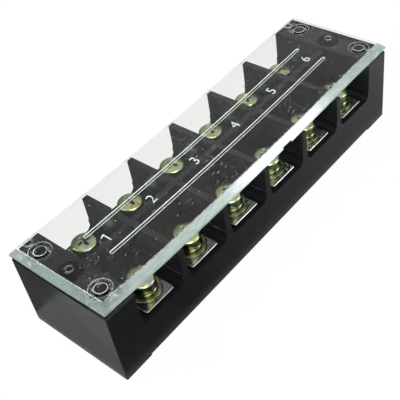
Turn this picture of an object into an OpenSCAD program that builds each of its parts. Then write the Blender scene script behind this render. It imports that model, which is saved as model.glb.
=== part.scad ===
// Barrier terminal strip with a clear cover
// X runs along the row of poles, -Y is the front and +Z is up.
// The origin is the middle of the footprint, on the surface that the strip stands on.

/* [Row of poles] */
// Number of poles along the strip
pole_count = 6; // [2:1:8]
// Distance from one pole to the next
pole_pitch = 21.5; // [19:0.5:26]
// Thickness of the barriers at their top
barrier_t = 2.3; // [1.8:0.1:3.2]
// Width of the solid block at each end of the row
end_block_w = 11.4; // [10.6:0.2:15]

/* [Moulded base] */
// Depth of the strip from front to back
base_depth = 42; // [40:0.5:50]
// Height of the black moulding
base_height = 30.2; // [27:0.2:36]
// How far the barriers and the rib stop below the moulding's top
barrier_drop = 1.4; // [0.6:0.1:3]
// Chamfer along the outer edges of the moulding
edge_chamfer = 0.4; // [0.2:0.1:0.8]
// Height of the cell floors that the plates lie on
floor_height = 15.4; // [14:0.2:18]
// Thickness of the rib down the middle of the strip
rib_t = 2.2; // [1.6:0.1:3]
// Width of the ledge on each side of a barrier
ledge_w = 0.35; // [0.2:0.05:0.6]
// Height of that ledge above the cell floor
ledge_rise = 3.9; // [3:0.1:6]
// Chamfer in the lower corners of a cell
cell_chamfer = 1.3; // [0.6:0.1:2]
// Length of the foot under each end block
foot_length = 11.2; // [8:0.2:13]
// How far the underside between the feet is raised
foot_rise = 1; // [0.5:0.1:2]

/* [Mounting holes] */
// Distance from each end of the strip to its mounting hole
mount_inset = 6.2; // [5.6:0.1:7]
// Diameter of the mounting holes
mount_d = 5.2; // [4:0.1:6]
// Diameter of the counterbore that the mounting screw's head sinks into
counterbore_d = 8.4; // [7:0.1:9]
// Depth of that counterbore
counterbore_depth = 17; // [10:0.5:22]

/* [Clear cover] */
// Thickness of the cover
cover_t = 3; // [2.4:0.1:4]
// Height of the upright edge below the bevel
cover_land = 0.8; // [0.6:0.1:1.4]
// Inset of the bevelled rim
cover_bevel = 2.1; // [1.5:0.1:3.2]
// Distance from the front or the back to the middle of the nearest cover pegs
peg_inset = 7.7; // [7.2:0.1:9]
// Outer diameter of a peg
peg_d = 6.2; // [5:0.1:6.4]
// Bore of a peg
peg_bore_d = 4.4; // [3:0.1:4.8]
// Length of a peg below the moulding's top
peg_length = 5; // [3:0.5:8]
// Clearance between a peg and its hole, all round
peg_clearance = 0.08; // [0.04:0.01:0.1]
// Diameter of the seat round a peg that stands on the moulding
seat_d = 7.2; // [6.8:0.1:7.6]
// Height of that seat
seat_height = 1; // [0.3:0.1:1.5]
// Distance from the middle of the strip to each long groove
groove_y = 5.8; // [4:0.1:7]
// Width of the long grooves
groove_w = 1.2; // [0.8:0.1:2]
// Depth of the long grooves in the cover's underside
groove_depth = 0.5; // [0.3:0.1:1.2]
// Distance from each end of the strip to the grooves
groove_inset = 17.6; // [15:0.2:25]
// Outer diameter of the ejector marks
ejector_d = 3.3; // [2.6:0.1:4]
// Width of the ejector marks' ring
ejector_ring = 0.5; // [0.3:0.1:0.8]
// Depth of the ejector marks
ejector_depth = 0.3; // [0.1:0.1:0.5]
// Gap between a peg's seat and the ejector mark beyond it
ejector_gap = 0.2; // [0.1:0.1:0.4]
// Place of the broken gate along the front edge, from the middle of the strip
gate_x = 11.8; // [-40:0.2:40]
// Length of the broken gate's notch
gate_length = 4.6; // [3:0.2:8]
// Depth of that notch into the edge
gate_depth = 0.6; // [0.3:0.1:1]
// Height of that notch above the underside
gate_height = 0.9; // [0.4:0.1:1.2]

/* [Terminal plates] */
// Width of a plate
plate_w = 12.6; // [11:0.2:14]
// Thickness of a plate
plate_t = 1; // [0.8:0.1:1.5]
// Distance of a plate's ends from the front and the back of the moulding
plate_setback = 1.5; // [1:0.1:3]
// Corner cut of a plate
plate_corner = 0.5; // [0.2:0.1:1]
// Gap beside and above a plate where it passes under the rib
plate_clearance = 0.15; // [0.1:0.05:0.3]

/* [Screws and washers] */
// Distance from the front or the back to the nearest row of screws
screw_inset = 8.6; // [8:0.1:9.5]
// Thread diameter of a screw
screw_d = 5; // [4:0.1:5.6]
// Length of a screw below its head
screw_length = 12; // [10:0.5:13]
// Cut at the tip of a screw
screw_tip = 0.6; // [0.3:0.1:1]
// Diameter of a screw head
head_d = 9; // [8:0.1:9.6]
// Height of a screw head
head_height = 3.8; // [3:0.1:4.2]
// Height of the dome on a screw head
head_dome = 0.4; // [0.3:0.1:1.6]
// Span of the cross recess
recess_span = 5; // [4:0.1:5.6]
// Width of the cross recess
recess_w = 1.1; // [0.8:0.1:1.4]
// Depth of the cross recess below the top of the dome
recess_depth = 2.4; // [1.8:0.1:2.8]
// Turn of each front screw's recess, in degrees
front_turns = [28, -12, 12, 58, 8, 40, 20, 65];
// Turn of each rear screw's recess, in degrees
rear_turns = [-8, -4, 11, 66, 50, 18, 35, 5];
// Outer diameter of a spring washer
spring_d = 9.2; // [8.4:0.1:10]
// Thickness of a spring washer
spring_t = 1.3; // [1:0.1:1.6]
// Slot where a spring washer is split
spring_slot = 0.7; // [0.4:0.1:1]
// Slant of that slot, in degrees
spring_slant = 25; // [10:5:40]
// Turn of that slot from the screw's recess, in degrees
spring_turn = 45; // [0:15:90]
// Outer diameter of a flat washer
flat_d = 12; // [10.5:0.1:12.6]
// Thickness of a flat washer
flat_t = 1; // [0.8:0.1:1.3]
// Clearance between a washer and the screw, all round
washer_clearance = 0.2; // [0.1:0.05:0.4]
// Clearance between the screw and the plate's threaded hole, all round
thread_clearance = 0.05; // [0.02:0.01:0.1]
// Clearance round the screw in the moulding's pocket
pocket_clearance = 0.8; // [0.5:0.1:1.2]
// Clearance below the tip of the screw in that pocket
tip_clearance = 2; // [1:0.5:3]

/* [Hidden] */
ROWS = [["front", -1, front_turns], ["rear", 1, rear_turns]];
// Overrun of a cut past the face that it opens
overrun = 1;
// Fineness of round shapes
$fn = 64;

cell_w = pole_pitch - barrier_t;
row_length = 2 * end_block_w + (pole_count - 1) * pole_pitch + cell_w;
mount_x = row_length / 2 - mount_inset;
screw_row_y = base_depth / 2 - screw_inset;
peg_y = base_depth / 2 - peg_inset;
cover_z = base_height + seat_height;
peg_hole_d = peg_d + 2 * peg_clearance;
peg_hole_depth = peg_length + seat_height;
washer_hole_d = screw_d + 2 * washer_clearance;
plate_top = floor_height + plate_t;
spring_z = plate_top + flat_t;
head_z = spring_z + spring_t;
pocket_bottom = head_z - screw_length - tip_clearance;
ejector_y = peg_y + seat_d / 2 + ejector_gap + ejector_d / 2;

// Middle of a pole along the row
function pole_x(i) = (i - (pole_count + 1) / 2) * pole_pitch;

// Radius of the sphere that rounds a dome of this height on a head of this radius
function dome_radius(r, rise) = (r * r + rise * rise) / (2 * rise);

// Rectangle with its four corners cut off
module cut_rectangle(size_x, size_y, cut) {
    hx = size_x / 2;
    hy = size_y / 2;
    polygon([
        [hx - cut, -hy], [hx, -hy + cut], [hx, hy - cut], [hx - cut, hy],
        [-hx + cut, hy], [-hx, hy - cut], [-hx, -hy + cut], [-hx + cut, -hy]
    ]);
}

// Extrudes an outline drawn in X and Z along the depth, centred on the strip's middle
module along_y(depth) {
    translate([0, depth / 2, 0]) rotate([90, 0, 0]) linear_extrude(depth) children();
}

// Extrudes an outline drawn in Y and Z along the row, centred on the strip's middle
module along_x(length) {
    translate([-length / 2, 0, 0]) rotate([90, 0, 90]) linear_extrude(length) children();
}

// Block with every outer edge chamfered, standing on the ground
module chamfered_block(length, depth, height, cut) {
    intersection() {
        linear_extrude(height) cut_rectangle(length, depth, cut);
        along_y(depth) translate([0, height / 2]) cut_rectangle(length, height, cut);
        along_x(length) translate([0, height / 2]) cut_rectangle(depth, height, cut);
    }
}

// Front view of one cell: the ledges on its sides and the cut lower corners
module cell_outline() {
    upper = cell_w / 2;
    lower = upper - ledge_w;
    ledge_z = floor_height + ledge_rise;
    right = [
        [lower - cell_chamfer, floor_height], [lower, floor_height + cell_chamfer],
        [lower, ledge_z], [upper, ledge_z], [upper, base_height + overrun]
    ];
    left = [for (k = [len(right) - 1:-1:0]) [-right[k][0], right[k][1]]];
    polygon(concat(right, left));
}

// The open space of a front cell, from the rib out through the front
module cell_space() {
    translate([0, -rib_t / 2, 0]) rotate([90, 0, 0])
        linear_extrude(base_depth / 2 - rib_t / 2 + overrun) cell_outline();
}

// Tunnel under the rib that a plate passes through
module plate_tunnel() {
    width = plate_w + 2 * plate_clearance;
    height = plate_t + plate_clearance;
    translate([-width / 2, -rib_t / 2 - overrun, floor_height])
        cube([width, rib_t + 2 * overrun, height]);
}

// Blind pocket that the end of a screw turns in
module screw_pocket() {
    translate([0, -screw_row_y, pocket_bottom])
        cylinder(d = screw_d + 2 * pocket_clearance, h = floor_height - pocket_bottom + overrun);
}

// Hole through an end block, stepped for the head of the mounting screw
module mounting_hole() {
    translate([0, 0, -overrun]) cylinder(d = mount_d, h = base_height + 2 * overrun);
    translate([0, 0, base_height - counterbore_depth])
        cylinder(d = counterbore_d, h = counterbore_depth + overrun);
}

// Step from the end blocks down to the tops of the barriers and the rib
module row_step() {
    length = row_length - 2 * end_block_w;
    translate([-length / 2, -base_depth / 2 - overrun, base_height - barrier_drop])
        cube([length, base_depth + 2 * overrun, barrier_drop + overrun]);
}

// Recess that leaves a foot under each end block
module foot_recess() {
    length = row_length - 2 * foot_length;
    translate([-length / 2, -base_depth / 2 - overrun, -overrun])
        cube([length, base_depth + 2 * overrun, foot_rise + overrun]);
}

module base() {
    color("#26272a") difference() {
        chamfered_block(row_length, base_depth, base_height, edge_chamfer);
        foot_recess();
        row_step();
        for (i = [1:pole_count]) translate([pole_x(i), 0, 0]) {
            plate_tunnel();
            for (side = [0, 1]) mirror([0, side, 0]) {
                cell_space();
                screw_pocket();
            }
        }
        for (x = [-mount_x, mount_x]) translate([x, 0, 0]) {
            mounting_hole();
            for (y = [-peg_y, peg_y]) translate([0, y, base_height - peg_hole_depth])
                cylinder(d = peg_hole_d, h = peg_hole_depth + overrun);
        }
    }
}

// End view of the cover plate: an upright land below a bevel
module cover_outline(width) {
    half = width / 2;
    polygon([
        [-half, 0], [half, 0], [half, cover_land], [half - cover_bevel, cover_t],
        [-half + cover_bevel, cover_t], [-half, cover_land]
    ]);
}

// Groove with round ends, cut up into the underside
module long_groove() {
    reach = row_length / 2 - groove_inset - groove_w / 2;
    depth = groove_depth + overrun;
    translate([-reach, -groove_w / 2, -overrun]) cube([2 * reach, groove_w, depth]);
    for (x = [-reach, reach]) translate([x, 0, -overrun]) cylinder(d = groove_w, h = depth);
}

// Shallow ring that an ejector pin leaves in the underside
module ejector_mark() {
    difference() {
        translate([0, 0, -overrun]) cylinder(d = ejector_d, h = ejector_depth + overrun);
        translate([0, 0, -2 * overrun])
            cylinder(d = ejector_d - 2 * ejector_ring, h = ejector_depth + 3 * overrun);
    }
}

// Hollow peg below the cover, rooted in it, with the seat that stands on the moulding
module cover_peg() {
    difference() {
        union() {
            translate([0, 0, -seat_height]) cylinder(d = seat_d, h = seat_height + overrun);
            translate([0, 0, -seat_height - peg_length])
                cylinder(d = peg_d, h = peg_length + seat_height);
        }
        translate([0, 0, -seat_height - peg_length - overrun])
            cylinder(d = peg_bore_d, h = peg_length + seat_height + overrun);
    }
}

// Notch where the moulding gate broke off the front edge
module gate_notch() {
    translate([gate_x - gate_length / 2, -base_depth / 2 - overrun, -overrun])
        cube([gate_length, gate_depth + overrun, gate_height + overrun]);
}

module cover() {
    color("#cfe6dc", 0.35) translate([0, 0, cover_z]) {
        difference() {
            intersection() {
                along_y(base_depth) cover_outline(row_length);
                along_x(row_length) cover_outline(base_depth);
            }
            for (y = [-groove_y, groove_y]) translate([0, y, 0]) long_groove();
            for (x = [-mount_x, mount_x], y = [-ejector_y, 0, ejector_y])
                translate([x, y, 0]) ejector_mark();
            gate_notch();
        }
        for (x = [-mount_x, mount_x], y = [-peg_y, peg_y]) translate([x, y, 0]) cover_peg();
    }
}

// Plate that joins the two screws of a pole, tapped for both
module terminal_plate() {
    length = base_depth - 2 * plate_setback;
    color("#c9cbcc") translate([0, 0, floor_height]) difference() {
        linear_extrude(plate_t) cut_rectangle(plate_w, length, plate_corner);
        for (y = [-screw_row_y, screw_row_y]) translate([0, y, -overrun])
            cylinder(d = screw_d + 2 * thread_clearance, h = plate_t + 2 * overrun);
    }
}

module flat_washer() {
    color("#a9a95a") translate([0, 0, plate_top]) difference() {
        cylinder(d = flat_d, h = flat_t);
        translate([0, 0, -overrun]) cylinder(d = washer_hole_d, h = flat_t + 2 * overrun);
    }
}

// Split washer, its slot cut on a slant
module spring_washer(turn) {
    color("#8f9c4e") translate([0, 0, spring_z]) rotate([0, 0, turn]) difference() {
        cylinder(d = spring_d, h = spring_t);
        translate([0, 0, -overrun]) cylinder(d = washer_hole_d, h = spring_t + 2 * overrun);
        translate([0, 0, spring_t / 2]) rotate([spring_slant, 0, 0])
            translate([0, -spring_slot / 2, -2 * spring_t])
            cube([spring_d, spring_slot, 4 * spring_t]);
    }
}

// Cross recess that narrows to its floor, drawn below the top of a head
module cross_recess() {
    translate([0, 0, head_height - recess_depth]) intersection() {
        cylinder(d1 = recess_span / 2, d2 = recess_span, h = recess_depth + overrun);
        union() for (turn = [0, 90]) rotate([0, 0, turn])
            translate([-recess_span, -recess_w / 2, 0])
            cube([2 * recess_span, recess_w, recess_depth + overrun]);
    }
}

// Pan head screw with its head on the spring washer
module screw(turn) {
    dome_r = dome_radius(head_d / 2, head_dome);
    color("#a8b464") translate([0, 0, head_z]) rotate([0, 0, turn]) {
        difference() {
            intersection() {
                cylinder(d = head_d, h = head_height);
                translate([0, 0, head_height - dome_r]) sphere(r = dome_r);
            }
            cross_recess();
        }
        translate([0, 0, screw_tip - screw_length])
            cylinder(d = screw_d, h = screw_length - screw_tip);
        translate([0, 0, -screw_length])
            cylinder(d1 = screw_d - 2 * screw_tip, d2 = screw_d, h = screw_tip);
    }
}

base();
cover();
for (i = [1:pole_count]) translate([pole_x(i), 0, 0]) {
    terminal_plate();
    for (row = ROWS) translate([0, row[1] * screw_row_y, 0]) {
        name = str("_", row[0], "_", i);
        turn = row[2][i - 1];
        flat_washer();
        spring_washer(turn + spring_turn);
        screw(turn);
    }
}
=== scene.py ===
import math

import bpy
from bpy.props import FloatProperty, FloatVectorProperty, PointerProperty
from mathutils import Matrix, Quaternion, Vector


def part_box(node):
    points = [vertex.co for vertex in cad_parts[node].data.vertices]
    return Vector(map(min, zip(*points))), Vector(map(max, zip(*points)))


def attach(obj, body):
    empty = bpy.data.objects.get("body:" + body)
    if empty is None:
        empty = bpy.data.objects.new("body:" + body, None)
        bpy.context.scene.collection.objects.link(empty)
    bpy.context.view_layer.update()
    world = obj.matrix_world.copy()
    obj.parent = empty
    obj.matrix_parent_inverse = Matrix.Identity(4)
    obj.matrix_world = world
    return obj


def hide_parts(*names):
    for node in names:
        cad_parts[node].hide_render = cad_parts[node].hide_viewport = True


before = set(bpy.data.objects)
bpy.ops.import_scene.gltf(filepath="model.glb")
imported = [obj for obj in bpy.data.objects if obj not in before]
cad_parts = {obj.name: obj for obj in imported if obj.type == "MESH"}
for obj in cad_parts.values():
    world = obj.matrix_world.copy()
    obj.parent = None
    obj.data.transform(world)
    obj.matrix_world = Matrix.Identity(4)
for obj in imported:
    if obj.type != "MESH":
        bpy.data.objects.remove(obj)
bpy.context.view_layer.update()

bl_info = {
    "name": "Barrier terminal strip",
    "version": (1, 0, 0),
    "blender": (4, 5, 0),
    "location": "View3D > Sidebar > Terminal strip",
    "description": "Dresses a barrier terminal strip: base, clear cover, plates, washers, screws",
    "category": "Object",
}

MM = 0.001
POLES = range(1, 1 + sum(name.startswith("terminal_plate_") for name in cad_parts))
CLAMPS = [f"{row}_{pole}" for row in ("front", "rear") for pole in POLES]


# Measures read from the frame

def low(name):
    """Lowest corner of a node of the frame."""
    return Vector(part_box(name)[0])


def high(name):
    """Highest corner of a node of the frame."""
    return Vector(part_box(name)[1])


def middle(name):
    """Middle of a node of the frame."""
    return (low(name) + high(name)) / 2


def radius(name):
    """Half of a round node's size along the row."""
    return (high(name).x - low(name).x) / 2


HEAD_FLOOR = high("spring_washer_front_1").z
HEAD_TOP = high("screw_front_1").z
SCREW_TIP = low("screw_front_1").z
ROW_Y = middle("screw_rear_1").y
POLE_X = [middle(f"terminal_plate_{pole}").x for pole in POLES]
HALF_LENGTH, HALF_DEPTH, BASE_TOP = high("base")
HEAD_RADIUS, PLATE_REACH = radius("screw_front_1"), high("terminal_plate_1").y
# The pegs' seats hold the cover's underside 1 mm above the base
COVER_FLOOR, COVER_TOP = BASE_TOP + 1.0 * MM, high("cover").z
# Layout of the cover's underside, as in the frame
PEG_X, PEG_Y = HALF_LENGTH - 6.2 * MM, HALF_DEPTH - 7.7 * MM
MARK_Y, MARK_REACH = PEG_Y + 5.45 * MM, 1.35 * MM
PEG_BORE, SEAT, BEVEL = 4.4 * MM, 7.2 * MM, 2.1 * MM
GROOVE_Y, GROOVE_WIDTH = 5.8 * MM, 1.2 * MM
# Where the cover sags most, and how far the sag reaches to each side
SAG_X, SAG_REACH = -8 * MM, 62 * MM
# How much higher the cover's left end sits at its front and rear corner, and how far that reaches
FRONT_RISE, REAR_RISE, RISE_REACH = 0.7 * MM, 0.1 * MM, 24 * MM
# The middle of the stretch of the cover's front rim that is painted whiter and glowing: painted
# light
PAINTED_LIGHT_X = 9 * MM
# Share of the light that a rough or milky spot of the cover lets through
LIGHT_THROUGH = 0.2
# Width of the strip along each end of the base that lies under the cover's bevel, where painted
# shade takes the moulding's sheen away
RIM_STRIP = 1.2 * MM
# Points closer than this are one point, and places closer than this are the same place
SAME_POINT, SAME_PLACE = 0.001 * MM, 0.01 * MM
# How far each recess is turned, in degrees, from the photograph where a head is sharp there
TURNS = dict(zip(CLAMPS, (28, -12, 12, 58, 8, 40, -8, -4, 11, 66, 50, 18)))
# Slant of the cut ends of a spring washer
SLANT = math.radians(25)


def linear(code):
    """Turns an sRGB hex code such as #a0b0c0 into linear red, green, blue and alpha."""
    channels = [int(code[start:start + 2], 16) / 255 for start in (1, 3, 5)]
    return tuple(
        c / 12.92 if c <= 0.04045 else ((c + 0.055) / 1.055) ** 2.4 for c in channels
    ) + (1.0,)


def colour_property(name, description, code):
    """A colour that a user can change."""
    return FloatVectorProperty(
        name=name, description=description, subtype="COLOR", size=4,
        default=linear(code), min=0, max=1)


def length_property(name, description, default, lowest, highest):
    """A length in millimetres that a user can change, held in metres."""
    return FloatProperty(
        name=name, description=description, unit="LENGTH", precision=5,
        default=default * MM, min=lowest * MM, max=highest * MM)


class StripSizes(bpy.types.PropertyGroup):
    """Sizes of the dressed pieces."""
    base_edge: length_property(
        "Moulding edge", "Rounding along the edges of the black moulding", 0.16, 0.02, 0.5)
    cover_edge: length_property(
        "Cover edge", "Rounding along the edges of the clear cover", 0.14, 0.02, 0.5)
    cover_sag: length_property(
        "Cover sag", "How far the clear cover has sunk between its ends", 1.2, 0, 1.5)
    plate_edge: length_property(
        "Plate edge", "Rounding along the edges of the terminal plates", 0.12, 0.02, 0.4)
    plate_nose: length_property(
        "Plate nose", "Rounding along the upper edges of a plate's two ends", 0.35, 0.1, 0.8)
    washer_edge: length_property(
        "Washer edge", "Rounding along the rims of the flat washers", 0.18, 0.05, 0.4)
    shank: length_property(
        "Shank", "Diameter of a screw over its thread", 5, 4, 6)
    washer_clearance: length_property(
        "Washer clearance", "Gap between a screw and the bore of its washers", 0.2, 0.1, 0.4)
    spring_gap: length_property(
        "Spring gap", "Gap between the ends of a spring washer", 0.7, 0.4, 1.2)
    thread_pitch: length_property(
        "Thread pitch", "Distance from one thread to the next on a screw", 0.8, 0.5, 1)
    thread_depth: length_property(
        "Thread depth", "Depth of the groove between the threads", 0.45, 0.2, 0.6)
    head_shoulder: length_property(
        "Head shoulder", "Rounding between the side and the top of a head", 0.85, 0.2, 1.5)
    head_crown: length_property(
        "Head crown", "Rise of a head's top from its shoulder to its middle", 0.35, 0.1, 1)
    recess_span: length_property(
        "Recess span", "Span of the cross recess at the top of a head", 5.8, 4, 6)
    recess_width: length_property(
        "Recess width", "Width of an arm of the cross recess", 1.35, 0.8, 1.5)
    recess_depth: length_property(
        "Recess depth", "Depth of the cross recess below the top of a head", 2.4, 1.5, 3)
    spring_rise: length_property(
        "Spring rise", "Rise of a spring washer from one end of its turn to the other",
        0.25, 0.1, 0.5)
    digit_height: length_property(
        "Digit height", "Height of the digits under the cover", 4.1, 3, 6)


class StripColours(bpy.types.PropertyGroup):
    """Colours of the finishes."""
    moulding: colour_property("Moulding", "Black moulded plastic", "#111213")
    cover: colour_property("Cover", "Clear plastic", "#fafbf8")
    frost: colour_property("Frost", "Rough spots and marks in the clear plastic", "#f4f8f6")
    rim: colour_property("Rim", "Milky bevelled rim of the clear plastic", "#bfcec6")
    plate: colour_property("Plate", "Plated terminal plate", "#9c9c98")
    zinc: colour_property("Zinc", "Green-grey plating of the screws", "#cbdba6")
    gold: colour_property("Gold", "Golden patches of the plating", "#c3a466")
    grey: colour_property("Grey", "Grey patches of the plating", "#b4bab8")


def sizes():
    return bpy.context.scene.strip_sizes


def colours():
    return bpy.context.scene.strip_colours


# Materials

def add_node(tree, kind, inputs=None, **settings):
    """Adds a shader node with its settings. Each input takes a value, another node's output, or
    a node, whose first output in use is meant."""
    node = tree.nodes.new("ShaderNode" + kind)
    for name, value in settings.items():
        setattr(node, name, value)
    for name, value in (inputs or {}).items():
        if isinstance(value, bpy.types.Node):
            value = next(output for output in value.outputs if output.enabled)
        if isinstance(value, bpy.types.NodeSocket):
            tree.links.new(value, node.inputs[name])
        else:
            node.inputs[name].default_value = value
    return node


def start_material(name):
    """A new node material with nothing in it but its coordinates."""
    material = bpy.data.materials.new(name)
    material.use_nodes = True
    tree = material.node_tree
    tree.nodes.clear()
    return material, tree, add_node(tree, "TexCoord").outputs["Object"]


def per_metre(millimetres):
    """Scale of a pattern whose grains are this many millimetres apart."""
    return 1 / (millimetres * MM)


def black_abs(name, sheen):
    """ABS moulded in a spark-eroded tool: near black, satin, with a very fine grain that
    softens reflections, slow waves where the thick walls sank, and slightly uneven gloss.
    Under the cover's rim and on the cells' floors its sheen is taken almost all away: painted
    shade, so that those places stay black."""
    material, tree, place = start_material(name)
    cloud = add_node(tree, "TexNoise", {
        "Vector": place, "Scale": per_metre(14), "Detail": 3, "Roughness": 0.6})
    grain = add_node(tree, "TexNoise", {"Vector": place, "Scale": per_metre(0.35), "Detail": 2})
    wave = add_node(tree, "TexNoise", {"Vector": place, "Scale": per_metre(9), "Detail": 1})
    tone = add_node(tree, "Mix", {
        "Factor": cloud, "A": colours().moulding, "B": linear("#191a1c")}, data_type="RGBA")
    gloss = add_node(tree, "MapRange", {
        "Value": cloud, "From Min": 0.3, "From Max": 0.7, "To Min": 0.24, "To Max": 0.33})
    sink = add_node(tree, "Bump", {"Height": wave, "Strength": 0.12, "Distance": 0.5 * MM})
    bump = add_node(tree, "Bump", {
        "Height": grain, "Strength": 0.1, "Distance": 0.05 * MM, "Normal": sink})
    shader = add_node(tree, "BsdfPrincipled", {"Base Color": tone, "Roughness": gloss, "IOR": 1.5,
        "Specular IOR Level": sheen, "Normal": bump})
    add_node(tree, "OutputMaterial", {"Surface": shader})
    return material


def handling_marks(tree, place):
    """Fine scratches along the cover, in patches, and specks: 1 on a mark, 0 between."""
    stretched = add_node(tree, "Mapping", {"Vector": place, "Rotation": (0, 0, math.radians(12)),
        "Scale": (6, 1, 1)}, vector_type="TEXTURE")
    scratch = add_node(tree, "TexNoise", {
        "Vector": stretched, "Scale": per_metre(0.35), "Detail": 1})
    lines = add_node(tree, "MapRange", {"Value": scratch, "From Min": 0.68, "From Max": 0.72})
    where = add_node(tree, "TexNoise", {"Vector": place, "Scale": per_metre(16), "Detail": 3})
    patches = add_node(tree, "MapRange", {"Value": where, "From Min": 0.50, "From Max": 0.64})
    worn = add_node(tree, "Math", {0: lines, 1: patches}, operation="MULTIPLY")
    specks = add_node(tree, "TexVoronoi", {"Vector": place, "Scale": per_metre(3.2)})
    dots = add_node(tree, "MapRange", {
        "Value": specks, "From Min": 0.035, "From Max": 0.06, "To Min": 0.9, "To Max": 0})
    faint = add_node(tree, "Math", {0: worn, 1: 0.35}, operation="MULTIPLY")
    return add_node(tree, "Math", {0: faint, 1: dots}, operation="MAXIMUM")


def peg_distance(tree, place):
    """Distance from the nearest peg, seen from above."""
    fold = add_node(tree, "VectorMath", {0: place}, operation="ABSOLUTE")
    off = add_node(tree, "VectorMath", {0: fold, 1: (PEG_X, PEG_Y, 0)}, operation="SUBTRACT")
    flat = add_node(tree, "VectorMath", {0: off, 1: (1, 1, 0)}, operation="MULTIPLY")
    return add_node(tree, "VectorMath", {0: flat}, operation="LENGTH")


def finish_clear(tree, share, pale):
    """Ends a clear material: clear acrylic, with a pale shader over a share of it. Lamps shine
    straight through, so that what is below is lit as through thin plastic."""
    clear = add_node(tree, "BsdfPrincipled", {"Base Color": colours().cover, "Roughness": 0.015,
        "IOR": 1.49, "Transmission Weight": 1.0})
    surface = add_node(tree, "MixShader", {0: share, 1: clear, 2: pale})
    lit = add_node(tree, "LightPath").outputs["Is Shadow Ray"]
    through = add_node(tree, "BsdfTransparent", {"Color": linear("#f2f6f3")})
    both = add_node(tree, "MixShader", {0: lit, 1: surface, 2: through})
    add_node(tree, "OutputMaterial", {"Surface": both})


def clear_acrylic():
    """Clear acrylic, moulded and handled: sharp reflections, fine pale scratches and specks."""
    material, tree, place = start_material("clear_acrylic")
    pale = add_node(tree, "BsdfPrincipled", {
        "Base Color": colours().frost, "Roughness": 0.5, "IOR": 1.49})
    finish_clear(tree, handling_marks(tree, place), pale)
    return material


def rough_acrylic(name, least, most, glow):
    """The tool's rough spots, in grooves, rings and digits: they scatter the light that runs
    through the plate and look white. A faint glow stands in for that light."""
    material, tree, place = start_material(name)
    grain = add_node(tree, "TexNoise", {"Vector": place, "Scale": per_metre(0.6), "Detail": 3})
    share = add_node(tree, "MapRange", {
        "Value": grain, "From Min": 0.35, "From Max": 0.65, "To Min": least, "To Max": most})
    body = add_node(tree, "BsdfPrincipled", {"Base Color": colours().frost, "Roughness": 0.6,
        "Emission Color": colours().frost, "Emission Strength": glow})
    back = add_node(tree, "BsdfTranslucent", {"Color": colours().frost})
    pale = add_node(tree, "MixShader", {0: LIGHT_THROUGH, 1: body, 2: back})
    finish_clear(tree, share, pale)
    return material


def rim_tone(tree, place, white):
    """Colour of the milky rim: grey-green at the ends, and white along the middle of the front,
    where the white is painted light; with streaks along the filing, darker towards the top."""
    spot = add_node(tree, "SeparateXYZ", {0: place}).outputs
    cloud = add_node(tree, "TexNoise", {"Vector": place, "Scale": per_metre(6), "Detail": 3})
    milky = add_node(tree, "Mix", {
        "Factor": cloud, "A": linear("#a3b7ac"), "B": colours().rim}, data_type="RGBA")
    # Painted light: the middle of the front rim is whiter
    front = add_node(tree, "Mix", {
        "Factor": white, "A": milky, "B": linear("#f6ffff")}, data_type="RGBA")
    end = add_node(tree, "MapRange", {"Value": spot["X"], "From Min": -HALF_LENGTH + 2 * MM,
        "From Max": -HALF_LENGTH + 4 * MM, "To Min": 1, "To Max": 0})
    tone = add_node(tree, "Mix", {
        "Factor": end, "A": front, "B": linear("#92a699")}, data_type="RGBA")
    along = add_node(tree, "Mapping", {"Vector": place, "Scale": (5, 1, 1)}, vector_type="TEXTURE")
    streak = add_node(tree, "TexNoise", {"Vector": along, "Scale": per_metre(0.7), "Detail": 4})
    height = add_node(tree, "MapRange", {"Value": spot["Z"], "From Min": COVER_TOP,
        "From Max": COVER_FLOOR + MM, "To Min": 0.84, "To Max": 1.04})
    shade = add_node(tree, "MapRange", {
        "Value": streak, "From Min": 0.3, "From Max": 0.7, "To Min": 0.74, "To Max": height})
    return add_node(tree, "VectorMath", {0: tone, 1: shade}, operation="MULTIPLY")


def rim_share(tree, place):
    """Share of the rim that is milky: most of it, with clear, dark blots near the pegs."""
    near = add_node(tree, "MapRange", {"Value": peg_distance(tree, place), "From Min": 4 * MM,
        "From Max": 9 * MM, "To Min": 1, "To Max": 0})
    blot = add_node(tree, "TexNoise", {
        "Vector": place, "Scale": per_metre(2.2), "Detail": 2, "Distortion": 0.8})
    dark = add_node(tree, "MapRange", {"Value": blot, "From Min": 0.42, "From Max": 0.52})
    mottle = add_node(tree, "Math", {0: near, 1: dark}, operation="MULTIPLY")
    return add_node(tree, "MapRange", {"Value": mottle, "To Min": 0.92, "To Max": 0.25})


def edge_acrylic():
    """The bevelled rim, left as the tool was filed: light that runs through the plate from its
    far edges comes out here, so it looks milky. Along the middle of the front, a whiter colour
    and a faint glow are painted light that stands in for that light."""
    material, tree, place = start_material("clear_acrylic_rim")
    spot = add_node(tree, "SeparateXYZ", {0: place}).outputs
    off_white = add_node(tree, "Math", {0: spot["X"], 1: PAINTED_LIGHT_X}, operation="SUBTRACT")
    away = add_node(tree, "Math", {0: off_white}, operation="ABSOLUTE")
    # Share of painted light: 1 along the middle of the front rim, fading to 0 beyond
    white = add_node(tree, "MapRange", {"Value": away, "From Min": 14 * MM, "From Max": 33 * MM,
        "To Min": 1, "To Max": 0}, interpolation_type="SMOOTHSTEP")
    tone = rim_tone(tree, place, white)
    glow = add_node(tree, "MapRange", {"Value": white, "To Min": 0, "To Max": 0.16})
    body = add_node(tree, "BsdfPrincipled", {"Base Color": tone, "Roughness": 0.22, "IOR": 1.49,
        "Emission Color": tone, "Emission Strength": glow})
    back = add_node(tree, "BsdfTranslucent", {"Color": tone})
    pale = add_node(tree, "MixShader", {0: LIGHT_THROUGH, 1: body, 2: back})
    finish_clear(tree, rim_share(tree, place), pale)
    return material


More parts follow.
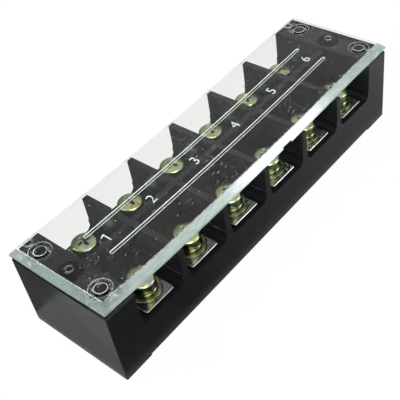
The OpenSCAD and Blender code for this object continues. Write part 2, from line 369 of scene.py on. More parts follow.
def tin_plated(name, colour, duller):
    """Rolled brass strip, punched and tin plated: soft grey metal, brushed along its length,
    a little duller in blotches where it was handled. A brighter copy of it paints a highlight on
    a plate's rounded ends, and a darker copy paints shade on its upright ends."""
    material, tree, place = start_material(name)
    along = add_node(tree, "Mapping", {"Vector": place, "Scale": (1, 0.03, 1)})
    brushed = add_node(tree, "TexNoise", {"Vector": along, "Scale": per_metre(0.25), "Detail": 3})
    blotch = add_node(tree, "TexNoise", {"Vector": place, "Scale": per_metre(5), "Detail": 4})
    tone = add_node(tree, "Mix", {"Factor": blotch, "A": colour, "B": duller}, data_type="RGBA")
    gloss = add_node(tree, "MapRange", {
        "Value": blotch, "From Min": 0.3, "From Max": 0.7, "To Min": 0.14, "To Max": 0.26})
    bump = add_node(tree, "Bump", {"Height": brushed, "Strength": 0.25, "Distance": 0.03 * MM})
    shader = add_node(tree, "BsdfPrincipled", {
        "Base Color": tone, "Metallic": 1.0, "Roughness": gloss, "Normal": bump})
    add_node(tree, "OutputMaterial", {"Surface": shader})
    return material


def yellow_zinc(name, dull=0.0, light=1.0):
    """Steel, zinc plated and passivated yellow: the thin film gives green-grey metal that
    drifts to gold and to grey in patches. Dull adds roughness, and light under 1 darkens the
    whole colour: painted shade, used in a recess, on a side and on the washers."""
    material, tree, place = start_material(name)
    film = add_node(tree, "TexNoise", {
        "Vector": place, "Scale": per_metre(3.6), "Detail": 3, "Distortion": 0.6})
    other = add_node(tree, "TexNoise", {
        "Vector": place, "Scale": per_metre(5), "Detail": 2, "Distortion": 1.0})
    fine = add_node(tree, "TexNoise", {"Vector": place, "Scale": per_metre(0.3), "Detail": 2})
    golden = add_node(tree, "MapRange", {"Value": film, "From Min": 0.54, "From Max": 0.68})
    greyed = add_node(tree, "MapRange", {"Value": other, "From Min": 0.54, "From Max": 0.68})
    warm = add_node(tree, "Mix", {
        "Factor": golden, "A": colours().zinc, "B": colours().gold}, data_type="RGBA")
    tone = add_node(tree, "Mix", {
        "Factor": greyed, "A": warm, "B": colours().grey}, data_type="RGBA")
    gloss = add_node(tree, "MapRange", {"Value": other, "From Min": 0.3, "From Max": 0.7,
        "To Min": 0.16 + dull, "To Max": 0.30 + dull})
    bump = add_node(tree, "Bump", {"Height": fine, "Strength": 0.2, "Distance": 0.03 * MM})
    # Light under 1 paints shade by darkening the whole colour
    tone_with_painted_shade = add_node(tree, "VectorMath", {0: tone, "Scale": light}, operation="SCALE")
    shader = add_node(tree, "BsdfPrincipled", {
        "Base Color": tone_with_painted_shade, "Metallic": 1.0, "Roughness": gloss, "Normal": bump})
    add_node(tree, "OutputMaterial", {"Surface": shader})
    return material


def grey_cards(tree, place):
    """1 where grey cards lie on the floor around the strip: before it, weaker towards its right
    end, beside its left end, fading outwards, and behind it."""
    spot = add_node(tree, "SeparateXYZ", {0: place}).outputs
    before = add_node(tree, "MapRange", {
        "Value": spot["Y"], "From Min": -HALF_DEPTH, "From Max": -HALF_DEPTH - 3 * MM})
    leftwards = add_node(tree, "MapRange", {"Value": spot["X"], "From Min": 2 * HALF_LENGTH,
        "From Max": -0.5 * HALF_LENGTH, "To Min": 0.2, "To Max": 0.93})
    edge = add_node(tree, "MapRange", {
        "Value": spot["X"], "From Min": -HALF_LENGTH, "From Max": -HALF_LENGTH - MM})
    fading = add_node(tree, "MapRange", {"Value": spot["X"], "From Min": -HALF_LENGTH - MM,
        "From Max": -HALF_LENGTH - 26 * MM, "To Min": 0.62, "To Max": 0.25})
    behind = add_node(tree, "MapRange", {"Value": spot["Y"], "From Min": HALF_DEPTH,
        "From Max": HALF_DEPTH + 3 * MM, "To Min": 0, "To Max": 0.85})
    front = add_node(tree, "Math", {0: before, 1: leftwards}, operation="MULTIPLY")
    left = add_node(tree, "Math", {0: edge, 1: fading}, operation="MULTIPLY")
    around = add_node(tree, "Math", {0: left, 1: behind}, operation="MAXIMUM")
    return add_node(tree, "Math", {0: front, 1: around}, operation="MAXIMUM")


def white_card():
    """Matt white card. The camera sees it white, also through clear plastic, with a part of
    the shadow on it. Only reflections show the grey cards on it, so that the black front stays
    dark and the screws' heads have dark outlines."""
    material, tree, place = start_material("white_card")
    fibres = add_node(tree, "TexNoise", {"Vector": place, "Scale": per_metre(2)})
    tone = add_node(tree, "Mix", {
        "Factor": fibres, "A": linear("#f4f4f4"), "B": linear("#fafafa")}, data_type="RGBA")
    path = add_node(tree, "LightPath").outputs
    greyed = add_node(tree, "Math", {
        0: grey_cards(tree, place), 1: path["Is Glossy Ray"]}, operation="MULTIPLY")
    dimmed = add_node(tree, "Mix", {
        "Factor": greyed, "A": tone, "B": linear("#101010")}, data_type="RGBA")
    card = add_node(tree, "BsdfDiffuse", {"Color": dimmed})
    glow = add_node(tree, "Emission", {"Color": linear("#ffffff"), "Strength": 1.0})
    shown = add_node(tree, "MixShader", {0: 0.95, 1: card, 2: glow})
    seen = add_node(tree, "Math", {
        0: path["Is Camera Ray"], 1: path["Is Transmission Ray"]}, operation="MAXIMUM")
    mixed = add_node(tree, "MixShader", {0: seen, 1: card, 2: shown})
    add_node(tree, "OutputMaterial", {"Surface": mixed})
    return material


# Modelling, as by hand

def select_only(*pieces):
    """Leaves only these pieces selected, with the first of them active."""
    bpy.ops.object.select_all(action="DESELECT")
    for piece in pieces:
        piece.select_set(True)
    bpy.context.view_layer.objects.active = pieces[0]


def pick(piece, part, test):
    """Goes to edit mode with only those points, edges or faces selected that pass the test."""
    if bpy.context.mode != "OBJECT":
        leave_edit()
    select_only(piece)
    bpy.ops.object.mode_set(mode="EDIT")
    bpy.ops.mesh.select_mode(type=part)
    bpy.ops.mesh.select_all(action="DESELECT")
    bpy.ops.object.mode_set(mode="OBJECT")
    parts = {"VERT": piece.data.vertices, "EDGE": piece.data.edges, "FACE": piece.data.polygons}
    for element in parts[part]:
        element.select = test(element)
    bpy.ops.object.mode_set(mode="EDIT")


def pick_all(piece):
    """Goes to edit mode with the whole piece selected."""
    pick(piece, "VERT", lambda point: True)


def leave_edit():
    bpy.ops.object.mode_set(mode="OBJECT")


def face_outwards():
    """Turns the faces of the piece in edit mode outwards, and leaves edit mode."""
    bpy.ops.mesh.select_all(action="SELECT")
    bpy.ops.mesh.normals_make_consistent(inside=False)
    leave_edit()


def merge_doubles():
    """Merges the points of the piece in edit mode that lie in one place."""
    bpy.ops.mesh.select_all(action="SELECT")
    bpy.ops.mesh.remove_doubles(threshold=SAME_POINT)


def use_modifier(piece, kind, **settings):
    """Adds a modifier with its settings and applies it."""
    select_only(piece)
    bpy.ops.object.modifier_add(type=kind)
    modifier = piece.modifiers[-1]
    for name, value in settings.items():
        setattr(modifier, name, value)
    bpy.ops.object.modifier_apply(modifier=modifier.name)


def draw_line(points, closed=False):
    """A line drawn point by point in the XZ plane, each point extruded from the last."""
    bpy.ops.object.select_all(action="DESELECT")
    bpy.ops.mesh.primitive_plane_add(size=MM)
    line = bpy.context.object
    bpy.ops.object.mode_set(mode="EDIT")
    bpy.ops.mesh.select_mode(type="VERT")
    bpy.ops.mesh.select_all(action="SELECT")
    bpy.ops.mesh.merge(type="CENTER")
    at = Vector((0, 0, 0))
    for number, (x, z) in enumerate(points):
        step = Vector((x, 0, z)) - at
        if number:
            bpy.ops.mesh.extrude_region_move(TRANSFORM_OT_translate={"value": step})
        else:
            bpy.ops.transform.translate(value=step)
        at += step
    if closed:
        bpy.ops.mesh.select_all(action="SELECT")
        bpy.ops.mesh.edge_face_add()
        bpy.ops.mesh.delete(type="ONLY_FACE")
    leave_edit()
    return line


def lathe(points, steps):
    """A round piece: a line in the XZ plane, spun once about Z."""
    piece = draw_line(points)
    pick_all(piece)
    bpy.ops.mesh.spin(steps=steps, angle=math.tau, center=(0, 0, 0), axis=(0, 0, 1))
    merge_doubles()
    face_outwards()
    return piece


def arc(centre, r, start, end, count):
    """Points along an arc in the XZ plane, with angles in degrees from +X."""
    turns = [math.radians(start + (end - start) * k / count) for k in range(count + 1)]
    return [(centre[0] + r * math.cos(t), centre[1] + r * math.sin(t)) for t in turns]


def round_edges(piece, width):
    """Rounds the sharp edges, and shades the piece so that its flat faces stay flat."""
    use_modifier(
        piece, "BEVEL", width=width, segments=2, limit_method="ANGLE",
        angle_limit=math.radians(30), harden_normals=False, miter_outer="MITER_ARC")
    smooth(piece)
    use_modifier(piece, "WEIGHTED_NORMAL", keep_sharp=True, weight=100)


def smooth(piece, angle=35):
    """Shades the piece smooth, apart from its edges sharper than the angle in degrees."""
    select_only(piece)
    bpy.ops.object.shade_smooth_by_angle(angle=math.radians(angle))


def copy_of_node(name, cuts=()):
    """A copy of a node of the frame as a clean mesh with whole flat faces. A face with a hole
    in it can't be kept whole, so cuts across the holes, as (axis, place), divide such faces."""
    select_only(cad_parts[name])
    bpy.ops.object.duplicate()
    piece = bpy.context.object
    piece.parent = None
    for key in list(piece.keys()):
        del piece[key]
    piece.data.materials.clear()
    pick_all(piece)
    bpy.ops.mesh.customdata_custom_splitnormals_clear()
    merge_doubles()
    for axis, place in cuts:
        bpy.ops.mesh.select_all(action="SELECT")
        bpy.ops.mesh.bisect(
            plane_co=[place if index == axis else 0 for index in range(3)],
            plane_no=[1 if index == axis else 0 for index in range(3)])
        bpy.ops.mesh.mark_seam()
    bpy.ops.mesh.select_all(action="SELECT")
    bpy.ops.mesh.dissolve_limited(angle_limit=math.radians(0.5), delimit={"SEAM"})
    leave_edit()
    return piece


def cut_with(piece, cutter):
    """Cuts one piece with another, and removes the cutter."""
    use_modifier(piece, "BOOLEAN", operation="DIFFERENCE", solver="EXACT", object=cutter)
    bpy.data.objects.remove(cutter)


def set_down(piece, name, body, slot, material, *nodes):
    """Names a finished piece, gives it its material and ties it to the frame."""
    piece.name = piece.data.name = name
    if not piece.data.materials:
        piece.data.materials.append(material)
    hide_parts(*nodes)
    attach(piece, body)


def paint(piece, material, test):
    """Gives a second material to the faces that pass the test."""
    piece.data.materials.append(material)
    slot = len(piece.data.materials) - 1
    for face in piece.data.polygons:
        if test(face):
            face.material_index = slot


def fill_clamps(pattern, prefix, body, slot, finish=None):
    """Puts a copy of a modelled pattern, with its own mesh, in each clamp, turned as that
    clamp's screw is."""
    made = []
    for clamp in CLAMPS:
        piece = pattern.copy()
        piece.data = pattern.data.copy()
        bpy.context.collection.objects.link(piece)
        axis = middle(f"screw_{clamp}")
        turn = Matrix.Rotation(math.radians(TURNS[clamp]), 4, "Z")
        piece.data.transform(Matrix.Translation((axis.x, axis.y, 0)) @ turn)
        made.append(piece)
    bpy.data.objects.remove(pattern)
    for clamp, piece in zip(CLAMPS, made):
        set_down(piece, f"{prefix}_{clamp}", f"{body}_{clamp}", slot, finish, f"{slot}_{clamp}")


# Pieces

def washer_bore():
    """Radius of the bore of the washers."""
    return sizes().shank / 2 + sizes().washer_clearance


def screw_head():
    """Pan head: straight side, rounded shoulder and low crown. The arcs of the shoulder and of
    the crown end a little early, so that the two blend."""
    r, cut = HEAD_RADIUS, 0.2 * MM
    shoulder, crown = sizes().head_shoulder, sizes().head_crown
    edge = HEAD_TOP - crown
    flat = r - shoulder
    ball = (flat * flat + crown * crown) / (2 * crown)
    spread = math.degrees(math.asin(flat / ball))
    outline = [(0, HEAD_FLOOR), (r - cut, HEAD_FLOOR), (r, HEAD_FLOOR + cut)]
    outline += arc((flat, edge - shoulder), shoulder, 0, 90 - spread * 0.6, 7)
    outline += arc((0, HEAD_TOP - ball), ball, 90 - spread * 0.93, 90, 6)
    return lathe(outline, 64)


def cross_cutter():
    """Cutter for the cross recess: four arms that narrow towards the floor."""
    half, span, depth = sizes().recess_width / 2, sizes().recess_span / 2, sizes().recess_depth
    above, taper = MM, 0.42
    bpy.ops.object.select_all(action="DESELECT")
    bpy.ops.mesh.primitive_cube_add(size=1, location=(0, 0, HEAD_TOP + (above - depth) / 2))
    cutter = bpy.context.object
    cutter.scale = (2 * half, 2 * half, depth + above)
    bpy.ops.object.transform_apply(location=True, rotation=True, scale=True)
    pick(cutter, "FACE", lambda face: abs(face.normal.z) < 0.5)
    bpy.ops.mesh.extrude_faces_move(
        TRANSFORM_OT_shrink_fatten={"value": span - half, "use_even_offset": True})
    pick(cutter, "VERT", lambda point: point.co.z < HEAD_TOP)
    bpy.ops.transform.resize(value=(taper, taper, 1), center_override=(0, 0, HEAD_TOP))
    face_outwards()
    return cutter


def screw_shank():
    """Threaded shank: one turn of the thread's profile, swept up along a helix."""
    pitch, depth = sizes().thread_pitch, sizes().thread_depth
    r, crest, tip = sizes().shank / 2, pitch / 8, 0.8
    profile = [(r - depth, 0), (r - depth, crest), (r, pitch / 2 - crest / 2),
               (r, pitch / 2 + crest / 2), (r - depth, pitch)]
    length = HEAD_FLOOR - SCREW_TIP
    shank = draw_line([(x, z + SCREW_TIP - pitch) for x, z in profile])
    use_modifier(
        shank, "SCREW", angle=math.tau, screw_offset=pitch, steps=32, render_steps=32,
        iterations=math.ceil(length / pitch) + 2, use_merge_vertices=True,
        merge_threshold=SAME_POINT)
    for height, keep_above in ((SCREW_TIP, True), (HEAD_FLOOR + 0.1 * MM, False)):
        pick_all(shank)
        bpy.ops.mesh.bisect(
            plane_co=(0, 0, height), plane_no=(0, 0, 1), use_fill=True,
            clear_inner=keep_above, clear_outer=not keep_above)
    face_outwards()
    pick(shank, "VERT", lambda point: point.co.z < SCREW_TIP + 0.1 * MM)
    bpy.ops.transform.resize(value=(tip, tip, 1), center_override=(0, 0, SCREW_TIP))
    leave_edit()
    return shank


def off_axis(face):
    """Distance of a face from a pattern's axis."""
    return math.hypot(face.center.x, face.center.y)


def in_recess(face):
    """True on the walls and the floor of the cross recess."""
    return off_axis(face) < sizes().recess_span / 2 and (
        -sizes().recess_depth - 0.1 * MM < face.center.z - HEAD_TOP < -0.3 * MM)


def on_side(face):
    """True on the side of a head and below it."""
    return off_axis(face) > HEAD_RADIUS - 0.35 * MM and face.normal.z < 0.35


def screw_pattern():
    """A whole screw, standing on the Z axis at its real height."""
    head = screw_head()
    cut_with(head, cross_cutter())
    use_modifier(
        head, "BEVEL", width=0.1 * MM, segments=2, limit_method="ANGLE",
        angle_limit=math.radians(40))
    smooth(head)
    shank = screw_shank()
    smooth(shank, 25)
    finish = yellow_zinc("yellow_zinc_screw")
    for part in (head, shank):
        part.data.materials.append(finish)
    # The cross recess and the head's side get darker copies of the zinc: painted shade
    paint(head, yellow_zinc("yellow_zinc_recess_painted_shade", dull=0.15, light=0.35), in_recess)
    paint(head, yellow_zinc("yellow_zinc_side_painted_shade", light=0.45), on_side)
    select_only(head, shank)
    bpy.ops.object.join()
    return head


def spring_washer_pattern():
    """Split spring washer: a square section, leaned over so that the ends are cut on a slant,
    swept round almost one rising turn."""
    name = "spring_washer_front_1"
    outer, inner, rise = radius(name), washer_bore(), sizes().spring_rise
    bottom, top = low(name).z, high(name).z - rise
    cut, middle_r = 0.15 * MM, (outer + inner) / 2
    section = [(inner, bottom), (outer - cut, bottom), (outer, bottom + cut),
               (outer, top - cut), (outer - cut, top), (inner, top)]
    washer = draw_line(section, closed=True)
    heart = (middle_r, 0, (bottom + top) / 2)
    pick_all(washer)
    bpy.ops.transform.rotate(value=SLANT, orient_axis="X", center_override=heart)
    bpy.ops.transform.resize(value=(1, 1, 1 / math.cos(SLANT)), center_override=heart)
    leave_edit()
    turn = math.tau - sizes().spring_gap / middle_r
    use_modifier(washer, "SCREW", angle=turn, screw_offset=rise, steps=72,
                 render_steps=72, iterations=1, use_normal_calculate=True)
    pick_all(washer)
    bpy.ops.mesh.fill_holes(sides=len(section))
    face_outwards()
    return washer


def flat_washer_pattern():
    """Punched flat washer with its rims rounded over."""
    name = "flat_washer_front_1"
    outer, inner, edge = radius(name), washer_bore(), sizes().washer_edge
    bottom, top = low(name).z, high(name).z
    outline = [(inner, bottom), (outer - edge, bottom)]
    outline += arc((outer - edge, bottom + edge), edge, -90, 0, 3)[1:]
    outline += arc((outer - edge, top - edge), edge, 0, 90, 3)
    outline += arc((inner + edge, top - edge), edge, 90, 180, 3)
    outline.append((inner, bottom))
    return lathe(outline, 72)


def sag_at(x):
    """How far the cover has sunk at this place along the row."""
    away = (x - SAG_X) / SAG_REACH
    return sizes().cover_sag * max(0, 1 - away * away)


def sag(piece):
    """Lets the middle of the cover sink, as a thin moulding does between its pegs, and lets its
    left end sit a little unevenly, higher at the front corner."""
    pick(piece, "VERT", lambda point: abs(point.co.x - SAG_X) < SAME_PLACE)
    bpy.ops.transform.translate(
        value=(0, 0, -sizes().cover_sag), use_proportional_edit=True,
        proportional_edit_falloff="INVERSE_SQUARE", proportional_size=SAG_REACH)
    for side, rise in ((-1, FRONT_RISE), (1, REAR_RISE)):
        pick(piece, "VERT", lambda point: point.co.x < -HALF_LENGTH + 3 * MM
             and point.co.y * side > HALF_DEPTH - 3 * MM)
        bpy.ops.transform.translate(
            value=(0, 0, rise), use_proportional_edit=True,
            proportional_edit_falloff="SMOOTH", proportional_size=RISE_REACH)
    leave_edit()


def on_rim_edge(face):
    """True on the roundings at the two edges of the cover's bevels."""
    return face.center.z > COVER_FLOOR and (
        0.75 < face.normal.z < 0.985 or 0.05 < face.normal.z < 0.65)


def bevel_between(piece, width, test):
    """Rounds the edges that have both of their points where the test says."""
    points = piece.data.vertices
    pick(piece, "EDGE", lambda edge: all(test(points[end].co) for end in edge.vertices))
    bpy.ops.mesh.bevel(offset=width, segments=2, affect="EDGES")
    leave_edit()


def weld_pegs(piece):
    """Rounds the root of each peg's bore and seat."""
    for r, width in ((PEG_BORE / 2, 0.24 * MM), (SEAT / 2, 0.15 * MM)):
        bevel_between(piece, width, lambda spot: abs(spot.z - COVER_FLOOR) < SAME_PLACE
                      and abs(off_peg(spot) - r) < 0.05 * MM)


def soften_rim(piece):
    """Rounds the edges between the cover's top and its bevels."""
    bevel_between(piece, 0.2 * MM, lambda spot: spot.z > COVER_TOP - SAME_PLACE and (
        abs(abs(spot.x) - (HALF_LENGTH - BEVEL)) < SAME_PLACE
        or abs(abs(spot.y) - (HALF_DEPTH - BEVEL)) < SAME_PLACE))


def off_peg(spot):
    """Distance of a place from the axis of the nearest peg."""
    return math.hypot(abs(spot.x) - PEG_X, abs(spot.y) - PEG_Y)


def on_rim(face):
    """True on the cover's bevels and on the upright edges below them."""
    spot, up = face.center, face.normal.z
    outside = abs(spot.x) > HALF_LENGTH - 0.2 * MM or abs(spot.y) > HALF_DEPTH - 0.2 * MM
    return spot.z > COVER_FLOOR - sag_at(spot.x) and (
        0.1 < up < 0.97 or outside and abs(up) <= 0.1)


def in_groove(face):
    """True on the walls of the two grooves under the cover."""
    spot = face.center
    above = spot.z - COVER_FLOOR + sag_at(spot.x)
    return 0.02 * MM < above < MM and abs(face.normal.z) < 0.7 and (
        abs(abs(spot.y) - GROOVE_Y) < GROOVE_WIDTH and abs(spot.x) < PEG_X - 5 * MM)


def in_mark(face):
    """True in the ring marks and at the roots of the pegs under the cover."""
    spot = face.center
    above = spot.z - COVER_FLOOR + sag_at(spot.x)
    reach = MARK_REACH if abs(spot.y) < PEG_Y else 1.4 * MARK_REACH
    ring = 0 < above < MM and abs(face.normal.z) < 0.7 and math.hypot(
        abs(spot.x) - PEG_X, min(abs(spot.y), abs(abs(spot.y) - MARK_Y))) < reach
    root = abs(above) < 0.8 * MM and 0.1 < abs(face.normal.z) < 0.97 and min(
        abs(off_peg(spot) - r) for r in (PEG_BORE / 2, SEAT / 2)) < 0.26 * MM
    return ring or root


def add_flag(one):
    """Draws the flag of the digit 1 out of the top of its stem."""
    root = max(point.co.y for point in one.data.vertices) - 0.4 * MM
    pick_all(one)
    merge_doubles()
    bpy.ops.mesh.bisect(plane_co=(0, root, 0), plane_no=(0, 1, 0))
    pick(one, "FACE", lambda face: face.normal.x < -0.9 and face.center.y > root)
    bpy.ops.mesh.extrude_region_move(TRANSFORM_OT_translate={"value": (-1.3 * MM, -0.45 * MM, 0)})
    leave_edit()


def digit(pole):
    """A raised digit on the cover's underside."""
    bpy.ops.object.select_all(action="DESELECT")
    bpy.ops.object.text_add()
    text = bpy.context.object
    text.data.body = str(pole)
    text.data.align_x = text.data.align_y = "CENTER"
    # A digit takes this share of its font's size
    text.data.size = sizes().digit_height / 0.72
    text.data.extrude, text.data.offset = 0.1 * MM, -0.11 * MM
    select_only(text)
    bpy.ops.object.convert(target="MESH")
    piece = bpy.context.object
    if pole == 1:
        add_flag(piece)
    x = middle(f"terminal_plate_{pole}").x
    aside = (1.0 if pole == 1 else -0.4) * MM
    piece.data.transform(Matrix.Translation(
        (x + aside, -0.1 * MM, COVER_FLOOR - 0.12 * MM - sag_at(x))))
    pick_all(piece)
    merge_doubles()
    leave_edit()
    return piece


def round_ends(plate):
    """Rounds the upper edges at a plate's two ends, as the punch rolled them over."""
    points, margin = plate.data.vertices, 0.05 * MM
    reach = max(abs(point.co.y) for point in points) - margin
    top = max(point.co.z for point in points) - margin
    pick(plate, "EDGE", lambda edge: all(
        abs(points[end].co.y) > reach and points[end].co.z > top for end in edge.vertices))
    bpy.ops.mesh.bevel(offset=sizes().plate_nose, segments=4, affect="EDGES")
    leave_edit()


def on_nose(face):
    """True on the roundings at the ends of a plate."""
    return 0.3 < face.normal.z < 0.97 and abs(face.center.y) > PLATE_REACH - sizes().plate_nose


def on_end(face):
    """True on the upright ends of a plate."""
    return abs(face.normal.y) > 0.95


def left_coarse(face):
    """True on the floors of the cells and on the base's end strips under the cover's bevels, which
    get painted shade.
    """
    spot = face.center
    in_cell = spot.z < HEAD_FLOOR
    on_strip = abs(spot.x) > HALF_LENGTH - RIM_STRIP and spot.z > BASE_TOP - 0.2 * MM
    return face.normal.z > 0.3 and (in_cell or on_strip)


# Operators

class DressBase(bpy.types.Operator):
    """Round the edges of the black moulding and give it its satin finish"""
    bl_idname = "terminal_strip.dress_base"
    bl_label = "Moulded base"

    def execute(self, context):
        strip = HALF_LENGTH - RIM_STRIP
        across = [(0, x) for x in (-strip, -PEG_X, PEG_X, strip, *POLE_X)]
        along = [(1, y) for y in (-ROW_Y, -PEG_Y, 0, PEG_Y, ROW_Y)]
        piece = copy_of_node("base", across + along)
        round_edges(piece, sizes().base_edge)
        piece.data.materials.append(black_abs("black_abs_moulded", sheen=0.3))
        # Cell floors and end strips lose their sheen: painted shade
        paint(piece, black_abs("black_abs_painted_shade", sheen=0.02), left_coarse)
        set_down(piece, "moulding", "base", "moulding", None, "base")
        return {"FINISHED"}


class DressPlates(bpy.types.Operator):
    """Round the edges of the terminal plates and brush them"""
    bl_idname = "terminal_strip.dress_plates"
    bl_label = "Terminal plates"

    def execute(self, context):
        finish = tin_plated("tin_plated_strip", colours().plate, linear("#7c7c7a"))
        # A brighter copy paints a highlight on the rounded ends, and a darker copy paints shade on
        # the upright ends
        nose_painted_highlight = tin_plated("tin_plated_nose_painted_highlight", linear("#e2e2de"), linear("#c8c8c4"))
        punched = tin_plated("tin_plated_end_painted_shade", linear("#5a5a58"), linear("#40403e"))
        for pole, x in zip(POLES, POLE_X):
            node = f"terminal_plate_{pole}"
            piece = copy_of_node(node, [(0, x), (1, -ROW_Y), (1, ROW_Y)])
            round_ends(piece)
            round_edges(piece, sizes().plate_edge)
            piece.data.materials.append(finish)
            paint(piece, nose_painted_highlight, on_nose)
            paint(piece, punched, on_end)
            set_down(piece, f"plate_{pole}", "base", "plate", None, node)
        return {"FINISHED"}


class DressFlatWashers(bpy.types.Operator):
    """Lay a flat washer on the plate under each screw"""
    bl_idname = "terminal_strip.dress_flat_washers"
    bl_label = "Flat washers"

    def execute(self, context):
        # The flat washers' zinc is darkened: painted shade
        finish = yellow_zinc("yellow_zinc_washer_painted_shade", dull=0.02, light=0.45)
        pattern = flat_washer_pattern()
        smooth(pattern)
        fill_clamps(pattern, "washer", "washers", "flat_washer", finish)
        return {"FINISHED"}


class DressSpringWashers(bpy.types.Operator):
    """Put a split spring washer under each screw head"""
    bl_idname = "terminal_strip.dress_spring_washers"
    bl_label = "Spring washers"

    def execute(self, context):
        # The spring washers' zinc is darkened: painted shade
        finish = yellow_zinc("yellow_zinc_spring_painted_shade", light=0.38)
        pattern = spring_washer_pattern()
        smooth(pattern)
        fill_clamps(pattern, "spring", "washers", "spring_washer", finish)
        return {"FINISHED"}


class DressScrews(bpy.types.Operator):
    """Put in the twelve pan head screws"""
    bl_idname = "terminal_strip.dress_screws"
    bl_label = "Screws"

    def execute(self, context):
        fill_clamps(screw_pattern(), "pan_screw", "screw", "screw")
        return {"FINISHED"}


class DressCover(bpy.types.Operator):
    """Round the edges of the clear cover, with a milky rim and rough grooves and rings"""
    bl_idname = "terminal_strip.dress_cover"
    bl_label = "Clear cover"

    def execute(self, context):
        strips = [SAG_X + SAG_REACH * step / 6 for step in range(-6, 7)]
        across = [(0, x) for x in (-PEG_X, PEG_X, *strips)]
        along = [(1, y) for y in (-MARK_Y, -PEG_Y, -GROOVE_Y, 0, GROOVE_Y, PEG_Y, MARK_Y)]
        piece = copy_of_node("cover", across + along)
        weld_pegs(piece)
        soften_rim(piece)
        sag(piece)
        round_edges(piece, sizes().cover_edge)
        piece.data.materials.append(clear_acrylic())
        paint(piece, edge_acrylic(), on_rim)
        paint(piece, rough_acrylic("clear_acrylic_groove", 0.75, 1.0, 0.35), in_groove)
        paint(piece, rough_acrylic("clear_acrylic_rough", 0.3, 0.85, 0.12), in_mark)
        paint(piece, rough_acrylic("clear_acrylic_edge", 0.1, 0.45, 0.35), on_rim_edge)
        set_down(piece, "clear_cover", "cover", "clear_cover", None, "cover")
        return {"FINISHED"}


class DressDigits(bpy.types.Operator):
    """Raise a digit for each pole on the cover's underside"""
    bl_idname = "terminal_strip.dress_digits"
    bl_label = "Digits"

    def execute(self, context):
        finish = bpy.data.materials["clear_acrylic_rough"]
        for pole in POLES:
            set_down(digit(pole), f"digit_{pole}", "cover", "clear_cover", finish)
        return {"FINISHED"}


class SetStage(bpy.types.Operator):
    """Set the white card, the soft lamps, the pale surroundings and the camera"""
    bl_idname = "terminal_strip.set_stage"
    bl_label = "Stage, lamps and camera"

    def execute(self, context):
        bpy.ops.object.select_all(action="DESELECT")
        bpy.ops.mesh.primitive_plane_add(size=4)
        floor = context.object
        floor.name = "floor"
        floor.data.materials.append(white_card())
        set_surroundings(context.scene)
        for lamp in LAMPS:
            add_lamp(*lamp)
        add_camera(context.scene)
        return {"FINISHED"}


# Even light from the surroundings, their brightness in reflections under the cover, and the
# directions in which reflections are dim
AMBIENT, THROUGH_COVER = 0.4, 0.6
DIM_SIDE = Vector((0.5, 0.55, 0.67)).normalized()
FRONT_LEFT_SIDE = Vector((-0.68, -0.6, 0.42)).normalized()
LEFT_SIDE = Vector((-0.8, 0.2, 0.55)).normalized()
REAR_SIDE = Vector((-0.1, 0.97, 0.15)).normalized()
# Lamps: name, place in metres, width of the square in metres, power in watts, colour, and
# whether shiny pieces mirror it
LAMPS = (
    ("window_left", (-0.75, 0.10, 0.55), 0.5, 2.4, "#ffffff", False),
    ("window_front", (-0.25, -0.75, 0.75), 0.5, 3.8, "#ffffff", True),
    ("window_right", (0.57, -0.70, 0.50), 0.28, 1.6, "#ffffff", True),
    ("ceiling", (-0.10, -0.20, 1.10), 0.6, 3.0, "#ffffff", False),
    ("window_rear", (-0.50, 0.55, 0.67), 0.25, 3.8, "#e2ecff", True),
)
# The camera as fitted to the photograph: place in millimetres, direction in degrees
CAMERA_AT = Vector((-142.1, -140.9, 196.2)) * MM
CAMERA_AZIMUTH = -42.67
CAMERA_ELEVATION = 43.56
CAMERA_ROLL = -10.75
LENS = 68.8


def dimming(tree, towards, side, start, end, darkest):
    """Falls from 1 to the darkest value as a direction turns towards this side."""
    facing = add_node(tree, "VectorMath", {0: towards, 1: side}, operation="DOT_PRODUCT")
    return add_node(tree, "MapRange", {
        "Value": facing, "From Min": start, "From Max": end, "To Min": 1, "To Max": darkest})


def set_surroundings(scene):
    """Pale surroundings. They are white where the camera sees them and give even light to
    matt surfaces. In reflections they are dim behind and above the strip's right end, so that
    the clear cover shows no veil, and at the front left. Seen through the cover they stay
    light, but not to the left and low behind, so that the screws below it shine on one side."""
    world = bpy.data.worlds.new("pale_surroundings")
    scene.world = world
    world.use_nodes = True
    tree = world.node_tree
    tree.nodes.clear()
    path = add_node(tree, "LightPath").outputs
    towards = add_node(tree, "TexCoord").outputs["Generated"]
    mirrored = add_node(tree, "Math", {0: dimming(tree, towards, DIM_SIDE, 0.2, 0.85, 0.12),
        1: dimming(tree, towards, FRONT_LEFT_SIDE, 0.3, 0.8, 0.08)}, operation="MULTIPLY")
    sides = add_node(tree, "Math", {0: dimming(tree, towards, REAR_SIDE, 0.6, 0.85, 0.1),
        1: dimming(tree, towards, LEFT_SIDE, 0.45, 0.85, 0.2)}, operation="MULTIPLY")
    veil = dimming(tree, towards, DIM_SIDE, 0.7, 0.97, THROUGH_COVER)
    through = add_node(tree, "Math", {0: veil, 1: sides}, operation="MULTIPLY")
    clear = add_node(tree, "Math", {
        0: path["Transmission Depth"], 1: 0.5}, operation="GREATER_THAN")
    glossy = add_node(tree, "Mix", {"Factor": clear, "A": mirrored, "B": through})
    reflected = add_node(tree, "Math", {
        0: path["Is Glossy Ray"], 1: path["Is Transmission Ray"]}, operation="MAXIMUM")
    lit = add_node(tree, "Mix", {"Factor": reflected, "A": AMBIENT, "B": glossy})
    seen = add_node(tree, "Mix", {"Factor": path["Is Camera Ray"], "A": lit, "B": 1.0})
    light = add_node(tree, "Background", {"Color": linear("#ffffff"), "Strength": seen})
    add_node(tree, "OutputWorld", {"Surface": light})


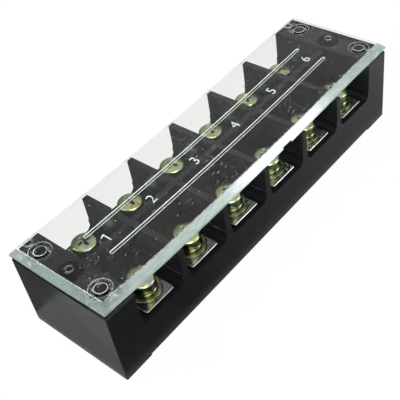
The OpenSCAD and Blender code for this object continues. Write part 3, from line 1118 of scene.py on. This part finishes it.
def add_lamp(name, at, size, power, colour, mirrored):
    """A square soft lamp that faces the middle of the strip."""
    bpy.ops.object.light_add(type="AREA", location=at)
    lamp = bpy.context.object
    lamp.name = lamp.data.name = name
    lamp.data.size = size
    lamp.data.energy = power
    lamp.data.color = linear(colour)[:3]
    lamp.visible_glossy = mirrored
    lamp.rotation_euler = Vector(at).to_track_quat("Z", "Y").to_euler()


def add_camera(scene):
    """The camera at the photograph's view."""
    azimuth, elevation = math.radians(CAMERA_AZIMUTH), math.radians(CAMERA_ELEVATION)
    back = Vector((math.sin(azimuth) * math.cos(elevation),
                   -math.cos(azimuth) * math.cos(elevation), math.sin(elevation)))
    turn = back.to_track_quat("Z", "Y") @ Quaternion((0, 0, 1), math.radians(CAMERA_ROLL))
    bpy.ops.object.camera_add(location=CAMERA_AT, rotation=turn.to_euler())
    camera = bpy.context.object
    camera.data.lens = LENS
    camera.data.clip_start = 0.01
    scene.camera = camera
    scene.view_settings.view_transform = "Standard"


class StripPanel(bpy.types.Panel):
    """Buttons for the pieces of the strip, with their sizes and colours"""
    bl_idname = "VIEW3D_PT_terminal_strip"
    bl_label = "Terminal strip"
    bl_space_type = "VIEW_3D"
    bl_region_type = "UI"
    bl_category = "Terminal strip"

    def draw(self, context):
        for operator in OPERATORS:
            self.layout.operator(operator.bl_idname)
        for group in (context.scene.strip_sizes, context.scene.strip_colours):
            for name in group.__annotations__:
                self.layout.prop(group, name)


OPERATORS = (SetStage, DressBase, DressPlates, DressFlatWashers, DressSpringWashers,
             DressScrews, DressCover, DressDigits)
CLASSES = (StripSizes, StripColours, *OPERATORS, StripPanel)


def register():
    for made in CLASSES:
        bpy.utils.register_class(made)
    bpy.types.Scene.strip_sizes = PointerProperty(type=StripSizes)
    bpy.types.Scene.strip_colours = PointerProperty(type=StripColours)


def unregister():
    del bpy.types.Scene.strip_colours
    del bpy.types.Scene.strip_sizes
    for made in reversed(CLASSES):
        bpy.utils.unregister_class(made)


def main():
    register()
    for operator in OPERATORS:
        group, name = operator.bl_idname.split(".")
        getattr(getattr(bpy.ops, group), name)()


if __name__ == "__main__":
    main()
